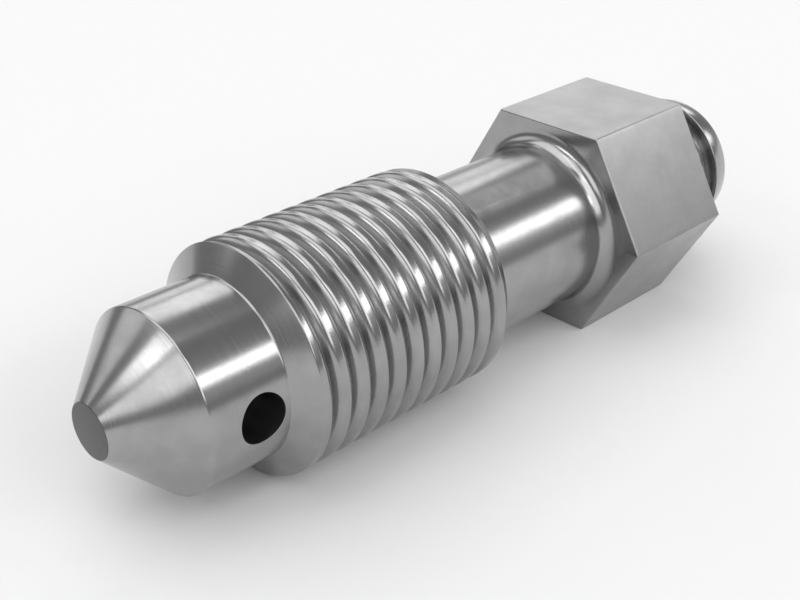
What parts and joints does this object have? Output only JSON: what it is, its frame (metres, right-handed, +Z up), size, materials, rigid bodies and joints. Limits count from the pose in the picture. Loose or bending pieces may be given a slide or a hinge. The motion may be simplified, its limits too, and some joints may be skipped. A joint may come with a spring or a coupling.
{
  "type": "bleeder screw",
  "caption": "Turned steel bleeder screw with a conical seat, cross-drilled nose, fine thread, necked shank, hexagon and barbed hose nipple.",
  "frame": {"origin": "on the ground under the middle of the screw's length, as it lies on a flat of its hexagon and the crest of its thread", "axes": "+X along the screw's axis from the seat cone to the hose nipple, +Z up out of the hexagon's top flat, Y along the level cross hole"},
  "size_m": [0.0374, 0.0116, 0.01],
  "materials": {
    "turned_steel": "bright, finely turned"
  },
  "bodies": {
    "root": {"bleeder_screw": "turned_steel"}
  },
  "joints": []
}
